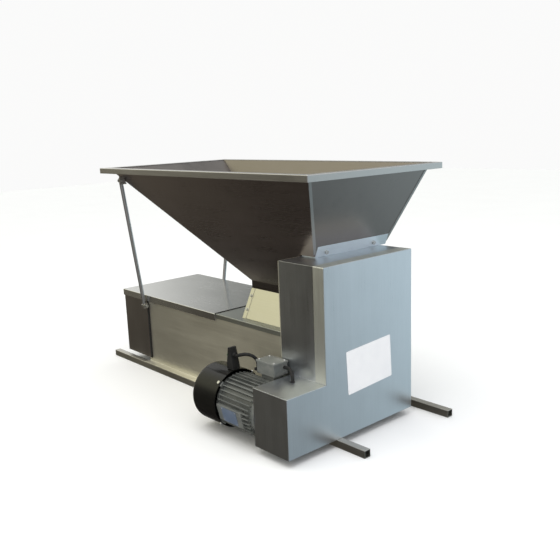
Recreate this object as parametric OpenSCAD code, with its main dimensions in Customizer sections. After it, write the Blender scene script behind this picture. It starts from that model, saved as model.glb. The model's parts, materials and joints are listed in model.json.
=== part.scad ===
// Electric grape crusher destemmer: hopper, crushing rollers, destemming trough and belt drive.
// Design frame: X runs along the rails towards the drive end, Y goes from the motor side to the
// far side and Z is up.  One shift at the end puts the origin under the middle of the machine.

/* [Rails] */
// Length of each carrying rail
rail_length = 1180; // [1150:10:1300]
// Width of the square tube
rail_tube = 20; // [18:1:25]
// Wall of the square tube
rail_wall = 1.5; // [1.2:0.1:2]
// Distance between the two rails, centre to centre
rail_spacing = 333; // [325:1:345]
// How far the rails stand out past the drive cover
rail_overhang = 90; // [60:5:120]

/* [Trough] */
// Outside width of the trough
trough_width = 309; // [300:1:318]
// Height of the trough top above the ground
trough_top = 248; // [236:1:260]
// Length of the trough between its end plates
trough_length = 732; // [700:4:760]
// Length of the stalk hood at the outlet end
hood_length = 149; // [120:1:170]
// Gap under the hood above the rails
hood_clear = 12; // [8:1:20]
// Length of the lift-off lid
lid_length = 527.5; // [500:0.5:540]
// Depth of the lid's turned-down lip
lid_lip = 21; // [15:1:28]
// Thickness of the sheet used for panels
sheet = 1.5; // [1.2:0.1:2]

/* [Destemming set] */
// Inside radius of the perforated grate
grate_radius = 112; // [108:1:116]
// Diameter of the holes in the grate
grate_hole = 28; // [18:1:30]
// Number of holes in one row of the grate
grate_columns = 14; // [8:1:14]
// Diameter of the beater shaft
beater_shaft_d = 25; // [20:1:30]
// Number of paddles on the beater shaft
paddle_count = 16; // [10:1:18]
// Gap between the paddle tips and the grate
paddle_gap = 7; // [4:0.5:12]

/* [Crushing rollers] */
// Distance between the two roller axes
roller_spacing = 84; // [84:0.5:88]
// Diameter over the roller ribs
roller_d = 78; // [70:1:80]
// Diameter of the roller shafts
roller_shaft_d = 20; // [16:1:22]
// Number of ribs on each roller
roller_ribs = 8; // [6:1:10]

/* [Hopper] */
// Length of the hopper over its rim
hopper_length = 946; // [900:2:960]
// Width of the hopper over its rim
hopper_width = 500; // [480:2:520]
// Height of the rim above the ground
hopper_top = 669.5; // [650:0.5:690]
// Width of the flat rim
rim_flange = 22; // [18:1:26]
// Depth of the rim's turned-down lip
rim_lip = 16.5; // [12:0.5:20]
// Length of the throat under the hopper
throat_length = 242; // [230:1:250]
// Width of the throat under the hopper
throat_width = 181; // [176:1:190]
// Diameter of the hopper's support rods
rod_d = 12; // [10:1:14]

/* [Drive cover] */
// Width of the whole cover
cover_width = 452; // [446:1:460]
// Height of the cover's top above the rails
cover_height = 435; // [425:1:445]
// Depth of the tall part
cover_depth = 155; // [150:1:165]
// Width of the low part in front of the motor
foot_width = 128; // [122:1:132]
// Height of the low part
foot_height = 150; // [145:1:156]
// Depth of the low part
foot_depth = 120; // [116:1:124]

/* [Drive] */
// Outside diameter of the motor pulley
motor_pulley_d = 64; // [60:1:66]
// Ratio of the belt drive
belt_ratio = 3; // [2.5:0.1:3]
// Teeth on the beater sprocket
small_teeth = 13; // [12:1:15]
// Teeth on the roller sprocket
large_teeth = 30; // [26:1:30]
// Teeth on each roller gear
gear_teeth = 21; // [19:1:24]

/* [Motor] */
// Diameter of the fan cowl
cowl_d = 156; // [150:1:158]
// Length of the motor from its flange to the cowl's end
motor_length = 242; // [236:1:260]
// Length of the finned housing
housing_length = 96; // [90:1:100]
// Diameter over the housing's fins
fin_d = 142; // [136:1:144]
// Number of cooling fins
fin_count = 36; // [24:1:40]
// Diameter of the motor shaft
motor_shaft_d = 19; // [16:1:22]
// Diameter of the flexible leads
lead_d = 9; // [6:0.5:9]

/* [Hidden] */

$fn = 48;
fit = 0.05;                                   // radial clearance of a running fit
seat_gap = 0.3;                               // loose seat of the lid
plate = 3;                                    // thickness of the load-carrying plates
chain_pitch = 12.7;                           // half-inch roller chain

// Rails
rail_hi = rail_overhang;
rail_lo = rail_hi - rail_length;
mid_y = 337.5;                                // vertical plane down the middle of the trough
rail_y_near = mid_y - rail_spacing/2;
rail_y_far = mid_y + rail_spacing/2;

// Drive cover, with its front face at x = 0 and the near face of its foot at y = 0
cover_floor = rail_tube;
cover_roof = cover_floor + cover_height;
foot_roof = cover_floor + foot_height;
plate_back = -cover_depth - plate;            // trough-side face of the drive end plate

// Trough
side_near = mid_y - trough_width/2;
side_far = mid_y + trough_width/2;
trough_lo = plate_back - trough_length;
top_ledge = 17;                               // width of the sides' top flanges
lap = 13;                                     // hood overlaps the trough sides by this
hood_hi = trough_lo + lap;
hood_lo = hood_hi - hood_length;
lid_play = 1.0;
lid_lo = hood_lo - lid_play - sheet - 0.5;
lid_hi = lid_lo + lid_length;
deck_lo = lid_hi + sheet;
deck_top = trough_top + sheet;

// Beater
beater_z = rail_tube + grate_radius + 4;      // the grate hangs just above the foot flanges
grate_sheet = 2;
grate_rows = 8;
paddle_tip = grate_radius - paddle_gap;

// Throat, roller box and hopper.  The hopper's planes are lines over z.
throat_hi = plate_back - 2;
throat_lo = throat_hi - throat_length - 5;
collar_low = deck_top + 80.5;
collar_high = collar_low + 22;
box_foot_width = 261;                         // roller box width where it stands on the deck
roller_z = deck_top + 34.5;
roller_lo = throat_lo + 11;
roller_hi = plate_back - 6;
wall_top = hopper_top - sheet;
notch_z = cover_roof + 3.5;                   // underside of the hopper over the drive cover
rim_hi = -2;
rim_lo = rim_hi - hopper_length;
rim_near = mid_y - hopper_width/2;
rim_far = rim_near + hopper_width;
throat_near = mid_y - throat_width/2;
throat_far = mid_y + throat_width/2;
drive_run = 82;                               // the wall above the cover leans out by this
drive_slope = drive_run/(wall_top - cover_roof);

function blend(z, low, high) = low + (z - collar_high)*(high - low)/(wall_top - collar_high);
function wall_lo(z) = blend(z, throat_lo, rim_lo + rim_flange);
function wall_hi(z) = rim_hi - rim_flange - drive_slope*(wall_top - z);
function wall_near(z) = blend(z, throat_near, rim_near + rim_flange);
function wall_far(z) = blend(z, throat_far, rim_far - rim_flange);
rise = wall_top - collar_high;
near_run = (throat_near - rim_near - rim_flange)/rise;
outlet_run = (throat_lo - rim_lo - rim_flange)/rise;
inset_y = sheet*sqrt(1 + near_run*near_run);
inset_lo = sheet*sqrt(1 + outlet_run*outlet_run);
inset_hi = sheet*sqrt(1 + drive_slope*drive_slope);

// Motor, with its axis in the middle of the foot
motor_y = 62;
motor_z = 90;
flange_x = -foot_depth;
shield_length = cover_depth + plate + 1 - foot_depth;   // keeps the fins clear of the tall cover
shield_r = foot_width - motor_y - 2;
housing_hi = flange_x - shield_length;
housing_lo = housing_hi - housing_length;
cowl_lo = flange_x - motor_length;
cowl_hi = housing_lo - 3;
cowl_r = cowl_d/2;
cowl_wall = 2;
fin_r = fin_d/2;
plate_turn = 193;                             // direction of the maker's plate round the axis
core_r = cowl_r - 24;
rotor_r = core_r - 16;
rear_r = cowl_r - cowl_wall - 12;             // rear shield's disc
fan_r = cowl_r - cowl_wall - 18;              // over the fan's blades

// Drive planes along X
belt_mid = -50;
chain_mid = -94.5;
gear_lo = -cover_depth + 10;
gear_width = 16;
beater_pulley_d = motor_pulley_d*belt_ratio;
gear_module = roller_spacing/gear_teeth;

// Rear switch box on the motor, terminal box and the leads between them
switch_lo = cowl_lo + 80;
switch_hi = cowl_hi + 2;                      // ends short of the housing's fins
switch_floor = motor_z + cowl_r + 0.4;
box_lo = housing_hi - 37;
box_hi = flange_x - 10;
box_near = motor_y + 16;
box_far = foot_width - 4;
box_floor = motor_z + 80;
box_roof = box_floor + 35;

// Span of the whole machine, used once to centre it
y_low = min(0, motor_y - cowl_r);
y_high = max(rim_far, rail_y_far + rail_tube/2);

steel = [0.72, 0.72, 0.70];
dark_steel = [0.45, 0.43, 0.41];
cast = [0.42, 0.43, 0.43];
black = [0.10, 0.10, 0.10];
zinc = [0.62, 0.64, 0.66];
food_rubber = [0.85, 0.84, 0.80];

module centred() {
  translate([-(rail_lo + rail_hi)/2, -(y_low + y_high)/2, 0]) children();
}

// A flat outline drawn in Y and Z, pushed along X
module along_x(x_start, x_end) {
  translate([x_start, 0, 0]) rotate([90, 0, 90]) linear_extrude(x_end - x_start) children();
}

module bar_x(x_start, x_end, y, z, r) {
  along_x(x_start, x_end) translate([y, z]) circle(r);
}

// The same piece on the near side and, mirrored, on the far side
module both_sides() {
  children();
  far_side() children();
}

module far_side() {
  translate([0, 2*mid_y, 0]) mirror([0, 1, 0]) children();
}

module block(low, high) {
  translate(low) cube(high - low);
}

module hex_head(af, h) {
  cylinder(h = h, d = af/cos(30), $fn = 6);
}

// Six-faced plate from its four bottom and four top corners, both counted the same way round
module slab(bottom, top) {
  polyhedron(points = concat(bottom, top), faces = [[0, 1, 2, 3], [7, 6, 5, 4],
    [0, 4, 5, 1], [1, 5, 6, 2], [2, 6, 7, 3], [3, 7, 4, 0]]);
}

// ---- Rails -----------------------------------------------------------------------------------
module square_tube(y) {
  along_x(rail_lo, rail_hi) translate([y - rail_tube/2, 0]) difference() {
    square(rail_tube);
    translate([rail_wall, rail_wall]) square(rail_tube - 2*rail_wall);
  }
}

module rail_near() {
  color(dark_steel) centred() square_tube(rail_y_near);
}

module rail_far() {
  color(dark_steel) centred() square_tube(rail_y_far);
}

// ---- Trough ----------------------------------------------------------------------------------
// Side panel seen along X: foot flange on the rail, wall, and top flange turned in
module side_outline(rail_edge, wall, inward) {
  foot_start = min(rail_edge, wall + inward*sheet);
  foot_end = max(rail_edge, wall + inward*sheet);
  translate([foot_start, rail_tube]) square([foot_end - foot_start, sheet]);
  translate([min(wall, wall + inward*sheet), rail_tube]) square([sheet, trough_top - rail_tube]);
  translate([min(wall, wall + inward*top_ledge), trough_top - sheet]) square([top_ledge, sheet]);
}

module trough_side_near() {
  color(steel) centred() along_x(trough_lo, plate_back)
    side_outline(rail_y_near - rail_tube/2, side_near, 1);
}

module trough_side_far() {
  color(steel) centred() along_x(trough_lo, plate_back)
    side_outline(rail_y_far + rail_tube/2, side_far, -1);
}

outlet_bar = 50;                              // upright bar that holds the outlet bearing
module outlet_end_plate() {
  color(steel) centred() along_x(trough_lo, trough_lo + 2) difference() {
    translate([side_near + sheet, rail_tube + sheet])
      square([trough_width - 2*sheet, trough_top - rail_tube - 2*sheet - grate_sheet]);
    difference() {
      translate([mid_y, beater_z]) circle(grate_radius - 8, $fn = 96);
      translate([mid_y - outlet_bar/2, 0]) square([outlet_bar, trough_top]);
      translate([0, beater_z + 88]) square([600, 60]);
    }
    translate([mid_y, beater_z]) circle(beater_shaft_d/2 + 6);
  }
}

module drive_end_plate() {
  color(steel) centred() difference() {
    block([plate_back, 0.5 + foot_width, cover_floor + 0.5],
      [-cover_depth, cover_width - 0.5, cover_roof - 0.5]);
    bar_x(plate_back - 1, 1 - cover_depth, mid_y, beater_z, beater_shaft_d/2 + 14);
    for (s = [-1, 1])
      bar_x(plate_back - 1, 1 - cover_depth, mid_y + s*roller_spacing/2, roller_z,
        roller_shaft_d/2 + 5);
    for (p = cover_screw_places)
      bar_x(plate_back - 1, 1 - cover_depth, p[0], p[1], 3.2);
  }
}

module stalk_hood() {
  color(dark_steel) centred() difference() {
    block([hood_lo, side_near - sheet, rail_tube + hood_clear],
      [hood_hi, side_far + sheet, trough_top]);
    block([hood_lo + sheet, side_near, 0], [hood_hi + 1, side_far, trough_top + 1]);
  }
}

feed_lo = roller_lo - 3;
feed_hi = roller_hi + 3;
feed_half = 95;
module top_deck() {
  color(steel) centred() difference() {
    block([deck_lo, side_near - sheet, trough_top - 12], [plate_back, side_far + sheet, deck_top]);
    block([deck_lo - 1, side_near, 0], [plate_back + 1, side_far, trough_top]);
    block([feed_lo, mid_y - feed_half, 200], [feed_hi, mid_y + feed_half, 300]);
  }
}

module trough_lid() {
  lid_near = side_near - sheet - lid_play - sheet;
  lid_far = side_far + sheet + lid_play + sheet;
  top = trough_top + seat_gap;
  color(steel) centred() difference() {
    block([lid_lo, lid_near, top + sheet - lid_lip], [lid_hi, lid_far, top + sheet]);
    block([lid_lo + sheet, lid_near + sheet, 0], [lid_hi + 1, lid_far - sheet, top]);
  }
}

// ---- Destemming set --------------------------------------------------------------------------
module grate_outline(r) {
  translate([mid_y, beater_z]) circle(r, $fn = 96);
  translate([mid_y - r, beater_z]) square([2*r, trough_top - sheet - grate_sheet - beater_z]);
}

grate_lo = trough_lo + 2;
grate_pitch = (plate_back - grate_lo - 40)/grate_columns;
module destemming_grate() {
  ledge = trough_top - sheet - grate_sheet;
  outer = grate_radius + grate_sheet;
  color(zinc) centred() difference() {
    along_x(grate_lo, plate_back) union() {
      difference() {
        grate_outline(outer);
        grate_outline(grate_radius);
        translate([mid_y - grate_radius, beater_z]) square([2*grate_radius, 200]);
      }
      for (y = [side_near + sheet, mid_y + outer - grate_sheet])
        translate([y, ledge]) square([mid_y - outer + grate_sheet - side_near - sheet, grate_sheet]);
    }
    for (row = [0 : grate_rows - 1], col = [0 : grate_columns - 1])
      translate([grate_lo + 20 + grate_pitch*(col + (row % 2 == 0 ? 0.27 : 0.73)), mid_y, beater_z])
        rotate([110 + 20*row, 0, 0])
          translate([0, 0, grate_radius - 8]) cylinder(h = 18, d = grate_hole, $fn = 24);
  }
}

beater_lo = trough_lo - 14;
beater_hi = -30;
module beater_shaft() {
  color(zinc) centred() bar_x(beater_lo, beater_hi, mid_y, beater_z, beater_shaft_d/2);
}

// One paddle points up from the shaft: a round stem with a flat blade
module paddle() {
  difference() {
    union() {
      cylinder(h = paddle_tip - 12, d = 11, $fn = 24);
      translate([-19, -2.5, paddle_tip - 34]) cube([38, 5, 24]);
      translate([0, 2.5, paddle_tip - 19]) rotate([90, 0, 0]) linear_extrude(5) intersection() {
        circle(19);
        translate([-19, 0]) square([38, 19]);
      }
    }
    rotate([0, 90, 0]) cylinder(h = 30, d = beater_shaft_d + 2*fit, center = true);
  }
}

module beater_paddles() {
  first = grate_lo + 40;
  step = (plate_back - 45 - first)/(paddle_count - 1);
  color(food_rubber) centred() for (i = [0 : paddle_count - 1])
    translate([first + i*step, mid_y, beater_z]) rotate([i*75, 0, 0]) paddle();
}

// Flanged bush on the X axis: spigot towards -X, flange seated at x = 0
module flanged_bush(bore, spigot_r, spigot_h, flange_r, flange_h) {
  rotate([0, 90, 0]) difference() {
    union() {
      translate([0, 0, -spigot_h]) cylinder(h = spigot_h + 1, r = spigot_r);
      cylinder(h = flange_h, r = flange_r);
    }
    translate([0, 0, -spigot_h - 1]) cylinder(h = spigot_h + flange_h + 2, r = bore);
  }
}

module outlet_bearing() {
  color(black) centred() translate([trough_lo, mid_y, beater_z]) mirror([1, 0, 0])
    flanged_bush(beater_shaft_d/2 + fit, beater_shaft_d/2 + 5.9, 2, outlet_bar/2 - 1, 8);
}

module drive_bearing() {
  color(cast) centred() translate([-cover_depth, mid_y, beater_z])
    flanged_bush(beater_shaft_d/2 + fit, beater_shaft_d/2 + 13.9, plate, 44, 14);
}

// ---- Crushing rollers ------------------------------------------------------------------------
module ribbed_roller() {
  rib_r = 8;
  circle(roller_d/2 - 9);
  for (i = [0 : roller_ribs - 1])
    rotate(i*360/roller_ribs) translate([roller_d/2 - rib_r, 0]) circle(rib_r, $fn = 24);
}

module roller(y, turn, shaft_hi) {
  along_x(roller_lo, roller_hi) translate([y, roller_z]) rotate(turn) ribbed_roller();
  bar_x(throat_lo - 18, shaft_hi, y, roller_z, roller_shaft_d/2);
}

module roller_a() {
  color(food_rubber) centred() roller(mid_y - roller_spacing/2, 0, chain_mid + 24);
}

module roller_b() {
  color(food_rubber) centred() roller(mid_y + roller_spacing/2, 180/roller_ribs, gear_lo + 28);
}

module roller_bushes() {
  color(black) centred() for (s = [-1, 1]) {
    translate([-cover_depth, mid_y + s*roller_spacing/2, roller_z])
      flanged_bush(roller_shaft_d/2 + fit, roller_shaft_d/2 + 4.9, plate, 20, 6);
    translate([throat_lo, mid_y + s*roller_spacing/2, roller_z]) mirror([1, 0, 0])
      flanged_bush(roller_shaft_d/2 + fit, roller_shaft_d/2 + 4.9, 3, 20, 6);
  }
}

box_near_low = mid_y - box_foot_width/2;
module sloping_side() {
  shift_in = sheet*1.12;
  polygon([[box_near_low, deck_top], [box_near_low + 15, deck_top],
    [box_near_low + 15, deck_top + sheet], [box_near_low + shift_in + 0.8, deck_top + sheet],
    [throat_near + shift_in, collar_low], [throat_near, collar_low]]);
}

module roller_box_sides() {
  color([0.78, 0.76, 0.58]) centred() both_sides()
    along_x(throat_lo + sheet, plate_back) sloping_side();
}

flap_width = 15;                              // the end plate's edges fold over the sloping sides
module roller_box_end() {
  color([0.78, 0.76, 0.62]) centred() {
    difference() {
      along_x(throat_lo, throat_lo + sheet) polygon([[box_near_low, deck_top],
        [2*mid_y - box_near_low, deck_top], [throat_far, collar_low],
        [throat_near, collar_low]]);
      for (s = [-1, 1])
        bar_x(throat_lo - 1, throat_lo + 3, mid_y + s*roller_spacing/2, roller_z,
          roller_shaft_d/2 + 5);
    }
    both_sides() along_x(throat_lo, throat_lo + flap_width)
      polygon([[box_near_low - sheet, deck_top], [box_near_low, deck_top],
        [throat_near, collar_low], [throat_near - sheet, collar_low]]);
  }
}

box_lean = atan((throat_near - box_near_low)/(collar_low - deck_top));
module box_screws() {
  color(zinc) centred() both_sides() for (up = [0.3, 0.75])
    translate([throat_lo + 8, box_near_low + up*(throat_near - box_near_low) - sheet,
      deck_top + up*(collar_low - deck_top)])
      rotate([90 - box_lean, 0, 0]) translate([0, 0, 0.05]) hex_head(8, 3);
}

// ---- Gears, chain and belt -------------------------------------------------------------------
backlash = 0.7;
base_r = gear_module*gear_teeth/2*cos(20);
gear_tip = gear_module*(gear_teeth/2 + 1) - 0.4;
gear_root = gear_module*(gear_teeth/2 - 1.25);
function involute(r) = let (a = sqrt(max(0, r*r/(base_r*base_r) - 1))) a*180/PI - atan(a);
half_tooth = 90/gear_teeth - backlash/gear_module/gear_teeth*180/PI
  + involute(gear_module*gear_teeth/2);
function flank(r, side) = let (a = side*(half_tooth - involute(r))) [r*cos(a), r*sin(a)];
tooth_radii = [for (i = [0 : 3]) base_r + (gear_tip - base_r)*i/3];

module gear_outline(turn) {
  rotate(turn) {
    circle(gear_root + 0.2, $fn = 96);
    for (i = [0 : gear_teeth - 1]) rotate(i*360/gear_teeth)
      polygon(concat([[gear_root - 1, -base_r*sin(half_tooth)]],
        [for (r = tooth_radii) flank(r, -1)],
        [for (i = [3 : -1 : 0]) flank(tooth_radii[i], 1)],
        [[gear_root - 1, base_r*sin(half_tooth)]]));
  }
}

module roller_gear(y, turn) {
  difference() {
    union() {
      along_x(gear_lo, gear_lo + gear_width) translate([y, roller_z]) gear_outline(turn);
      bar_x(gear_lo, gear_lo + gear_width + 6, y, roller_z, roller_shaft_d/2 + 7);
    }
    bar_x(gear_lo - 1, gear_lo + gear_width + 8, y, roller_z, roller_shaft_d/2 + 0.02);
  }
}

module roller_gear_a() {
  color(cast) centred() roller_gear(mid_y - roller_spacing/2, 0);
}

module roller_gear_b() {
  even = gear_teeth % 2 == 0;
  color(cast) centred()
    roller_gear(mid_y + roller_spacing/2, even ? 180/gear_teeth : 0);
}

function sprocket_r(teeth) = chain_pitch/2/sin(180/teeth);
sprocket_w = 7;
tooth_high = 3.8;

module sprocket(y, z, teeth, bore, hub) {
  r = sprocket_r(teeth);
  difference() {
    union() {
      along_x(chain_mid - sprocket_w/2, chain_mid + sprocket_w/2) translate([y, z]) difference() {
        circle(r + tooth_high, $fn = 96);
        for (i = [0 : teeth - 1]) rotate((i + 0.5)*360/teeth)
          translate([r + 1, 0]) circle(4.4, $fn = 16);
      }
      bar_x(chain_mid - sprocket_w/2, chain_mid + 14, y, z, hub);
    }
    bar_x(chain_mid - 10, chain_mid + 16, y, z, bore);
  }
}

module roller_sprocket() {
  color(cast) centred() sprocket(mid_y - roller_spacing/2, roller_z, large_teeth,
    roller_shaft_d/2 + 0.02, roller_shaft_d/2 + 7);
}

module beater_sprocket() {
  color(cast) centred() sprocket(mid_y, beater_z, small_teeth,
    beater_shaft_d/2 + 0.02, beater_shaft_d/2 + 5);
}

// Outline of a band stretched round two circles
module round_two(a, ra, b, rb) {
  hull() {
    translate(a) circle(ra, $fn = 32);
    translate(b) circle(rb, $fn = 64);
  }
}

module loop(a, ra, b, rb, inner, outer) {
  difference() {
    round_two(a, ra + outer, b, rb + outer);
    round_two(a, ra + inner, b, rb + inner);
  }
}

module drive_chain() {
  low = [mid_y, beater_z];
  high = [mid_y - roller_spacing/2, roller_z];
  small = sprocket_r(small_teeth);
  large = sprocket_r(large_teeth);
  color(dark_steel) centred() {
    along_x(chain_mid - 5.5, chain_mid + 5.5)
      loop(low, small, high, large, tooth_high + 0.5, tooth_high + 2);
    for (s = [-1, 1])
      along_x(chain_mid + s*4.75 - 0.75, chain_mid + s*4.75 + 0.75)
        loop(low, small, high, large, -3.5, tooth_high + 2);
  }
}

// Grooved pulley turned about the X axis
groove_depth = 12;
pulley_w = 22;
module pulley(y, z, r, bore, hub, web) {
  translate([belt_mid, y, z]) rotate([0, 90, 0]) difference() {
    rotate_extrude($fn = 96) polygon(concat(
      [[bore, -pulley_w/2 - 8], [hub, -pulley_w/2 - 8]],
      web ? [[hub, -4], [r - 24, -4], [r - 20, -pulley_w/2]] : [[hub, -pulley_w/2]],
      [[r, -pulley_w/2], [r, -6.5], [r - groove_depth, -5], [r - groove_depth, 5], [r, 6.5],
        [r, pulley_w/2]],
      web ? [[r - 20, pulley_w/2], [r - 24, 4], [hub, 4]] : [],
      [[hub, pulley_w/2], [bore, pulley_w/2]]));
    if (web)
      for (i = [0 : 4]) rotate(i*72) translate([(hub + r - 24)/2, 0, -6])
        cylinder(h = 12, d = r - 24 - hub - 12);
  }
}

module beater_pulley() {
  color(cast) centred() pulley(mid_y, beater_z, beater_pulley_d/2, beater_shaft_d/2 + 0.02,
    beater_shaft_d/2 + 10, true);
}

module motor_pulley() {
  color(cast) centred() pulley(motor_y, motor_z, motor_pulley_d/2, motor_shaft_d/2 + 0.02,
    motor_shaft_d/2 + 7, false);
}

module v_belt() {
  color(black) centred() along_x(belt_mid - 4.5, belt_mid + 4.5)
    loop([motor_y, motor_z], motor_pulley_d/2, [mid_y, beater_z], beater_pulley_d/2,
      0.5 - groove_depth, -2);
}

// ---- Drive cover -----------------------------------------------------------------------------
cover_lip = 15;
cover_screw_places = [[foot_width + 9, foot_roof + 40], [foot_width + 9, foot_roof + 160],
  [foot_width + 9, cover_roof - 17], [cover_width - 9, foot_roof + 172],
  [cover_width - 9, cover_roof - 17]];
gland_hole = [-78, 92];
module drive_cover() {
  color([0.62, 0.66, 0.70]) centred() difference() {
    union() {
      block([-cover_depth, foot_width, cover_floor], [0, cover_width, cover_roof]);
      block([-foot_depth, 0, cover_floor], [0, foot_width + 1, foot_roof]);
    }
    block([sheet - cover_depth, foot_width + sheet, cover_floor + sheet],
      [-sheet, cover_width - sheet, cover_roof - sheet]);
    block([-cover_depth - 1, foot_width + cover_lip, cover_floor + cover_lip],
      [-sheet, cover_width - cover_lip, cover_roof - cover_lip]);
    block([-foot_depth - 1, sheet, cover_floor + sheet],
      [-sheet, foot_width + sheet + 1, foot_roof - sheet]);
    for (p = cover_screw_places)
      bar_x(-cover_depth - 1, 3 - cover_depth, p[0], p[1], 3.2);
    translate([gland_hole[0], gland_hole[1], foot_roof - 5]) cylinder(h = 10, d = 12.6);
  }
}

module cover_screws() {
  color(zinc) centred() for (p = cover_screw_places)
    translate([plate_back, p[0], p[1]]) rotate([0, 90, 0]) {
      translate([0, 0, -1.6]) cylinder(h = 1.6, r = 5.5);
      translate([0, 0, -1]) cylinder(h = plate + sheet + 9, r = 3);
    }
}

// Plate behind the foot that carries the motor, bent back to the drive end plate
module motor_plate() {
  color(steel) centred() difference() {
    union() {
      block([flange_x, sheet + 0.3, cover_floor + sheet + 0.3],
        [flange_x + plate, foot_width + sheet + 0.3 + plate, foot_roof - sheet - 0.3]);
      block([sheet - cover_depth + 0.3, foot_width + sheet + 0.3, cover_floor + cover_lip],
        [flange_x + plate, foot_width + sheet + 0.3 + plate, foot_roof - sheet - 0.3]);
    }
    bar_x(flange_x - 1, flange_x + plate + 1, motor_y, motor_z, 40.1);
    for (a = [45 : 90 : 315]) translate([flange_x - 1, motor_y, motor_z]) rotate([a, 0, 0])
      translate([0, 0, 50]) rotate([0, 90, 0]) cylinder(h = plate + 2, r = 3.3);
  }
}

// ---- Hopper ----------------------------------------------------------------------------------
function corner_lo_near(z, i) = [wall_lo(z) + i*inset_lo, wall_near(z) + i*inset_y, z];
function corner_hi_near(z, i) = [wall_hi(z) - i*inset_hi, wall_near(z) + i*inset_y, z];
function corner_lo_far(z, i) = [wall_lo(z) + i*inset_lo, wall_far(z) - i*inset_y, z];
function corner_hi_far(z, i) = [wall_hi(z) - i*inset_hi, wall_far(z) - i*inset_y, z];

module notch() {
  block([throat_hi, 0, 0], [100, 700, notch_z]);
}

function near_ring(z) = [corner_lo_near(z, 0), corner_hi_near(z, 0), corner_hi_near(z, 1),
  corner_lo_near(z, 1)];
function far_ring(z) = [corner_lo_far(z, 1), corner_hi_far(z, 1), corner_hi_far(z, 0),
  corner_lo_far(z, 0)];
function outlet_ring(z) = [corner_lo_near(z, 0), corner_lo_near(z, 1), corner_lo_far(z, 1),
  corner_lo_far(z, 0)];
function drive_ring(z) = [corner_hi_near(z, 1), corner_hi_near(z, 0), corner_hi_far(z, 0),
  corner_hi_far(z, 1)];

module hopper_wall_near() {
  color(dark_steel) centred() difference() {
    slab(near_ring(collar_high), near_ring(wall_top));
    notch();
  }
}

module hopper_wall_far() {
  color(dark_steel) centred() difference() {
    slab(far_ring(collar_high), far_ring(wall_top));
    notch();
  }
}

module hopper_wall_outlet() {
  color(dark_steel) centred() slab(outlet_ring(collar_high), outlet_ring(wall_top));
}

saddle_near = wall_near(notch_z) + 4.3;
saddle_far = wall_far(notch_z) - 1.3;
saddle_bolt_y = [saddle_near + 35, saddle_far - 54];
saddle_bolt_z = cover_roof + 12;
lean_hi = atan(drive_slope);
module on_drive_wall(y, z) {
  translate([wall_hi(z), y, z]) rotate([0, 90 + lean_hi, 0]) children();
}

// The wall over the drive cover turns back along the cover's roof, then drops to the throat
module hopper_wall_drive() {
  near = wall_near(notch_z) + inset_y + 0.6;
  far = wall_far(notch_z) - inset_y - 0.6;
  color(dark_steel) centred() difference() {
    union() {
      slab(drive_ring(notch_z), drive_ring(wall_top));
      block([throat_hi - sheet, near, notch_z], [wall_hi(notch_z) - 1, far, notch_z + sheet]);
      slab([for (p = [[0, 0], [1, 0], [1, 1], [0, 1]])
        [throat_hi - sheet + p[0]*sheet, p[1] == 0 ? wall_near(collar_high) + inset_y
          : wall_far(collar_high) - inset_y, collar_high]],
        [for (p = [[0, 0], [1, 0], [1, 1], [0, 1]])
        [throat_hi - sheet + p[0]*sheet, p[1] == 0 ? near : far, notch_z + sheet]]);
    }
    for (y = saddle_bolt_y) on_drive_wall(y, saddle_bolt_z) cylinder(h = 20, r = 3.2, center = true);
  }
}

module hopper_rim() {
  color([0.66, 0.68, 0.68]) centred() difference() {
    block([rim_lo, rim_near, hopper_top - rim_lip], [rim_hi, rim_far, hopper_top]);
    block([rim_lo + sheet, rim_near + sheet, 0], [rim_hi - sheet, rim_far - sheet, wall_top]);
    block([wall_lo(wall_top) + inset_lo, wall_near(wall_top) + inset_y, 0],
      [wall_hi(wall_top) - inset_hi, wall_far(wall_top) - inset_y, 700]);
  }
}

module hopper_collar() {
  color(dark_steel) centred() difference() {
    block([throat_lo, throat_near, collar_low], [throat_hi, throat_far, collar_high]);
    block([throat_lo + sheet, throat_near + sheet, 0],
      [throat_hi - sheet, throat_far - sheet, 400]);
  }
}

// Angle that ties the hopper to the cover's roof: foot under the hopper, upright on its wall
saddle_up = cover_roof + 29;
saddle_sheet = 2;
module hopper_saddle() {
  out = saddle_sheet*sqrt(1 + drive_slope*drive_slope);
  foot_z = notch_z - 0.1;
  color([0.66, 0.72, 0.76]) centred() difference() {
    translate([0, saddle_far, 0]) rotate([90, 0, 0]) linear_extrude(saddle_far - saddle_near)
      polygon([[4 - cover_depth, cover_roof + 0.05], [wall_hi(cover_roof) + out, cover_roof + 0.05],
        [wall_hi(saddle_up) + out, saddle_up], [wall_hi(saddle_up) + 0.05, saddle_up],
        [wall_hi(foot_z) + 0.05, foot_z], [4 - cover_depth, foot_z]]);
    translate([-200, saddle_near, notch_z + 2]) rotate([50, 0, 0])
      translate([0, -60, 0]) cube([200, 60, 60]);
    for (y = saddle_bolt_y) on_drive_wall(y, saddle_bolt_z) cylinder(h = 30, r = 3.2, center = true);
  }
}

module saddle_bolts() {
  color(zinc) centred() for (y = saddle_bolt_y) on_drive_wall(y, saddle_bolt_z) {
    translate([0, 0, saddle_sheet + 0.1]) hex_head(10, 4);
    translate([0, 0, -9]) cylinder(h = 9 + saddle_sheet + 0.5, r = 3);
    translate([0, 0, -sheet - 5.1]) hex_head(10, 5);
  }
}

// Support rods: a bolt along X at each end holds the rod to a welded tab
rod_low = [trough_lo + 6, side_near - sheet - 8.5, trough_top - 34];
rod_top = hopper_top - 39.5;
rod_high = [wall_lo(rod_top) - 8.4, wall_near(rod_top) - 10, rod_top];
tab = 4;
rod_way = rod_high - rod_low;
rod_lean = atan2(abs(rod_way[0]), rod_way[2]);

// Half the leaning rod's width along its bolts, at a given height above or below a bolt
function rod_side(height) = rod_d/2/cos(rod_lean) + height*tan(rod_lean);

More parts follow.
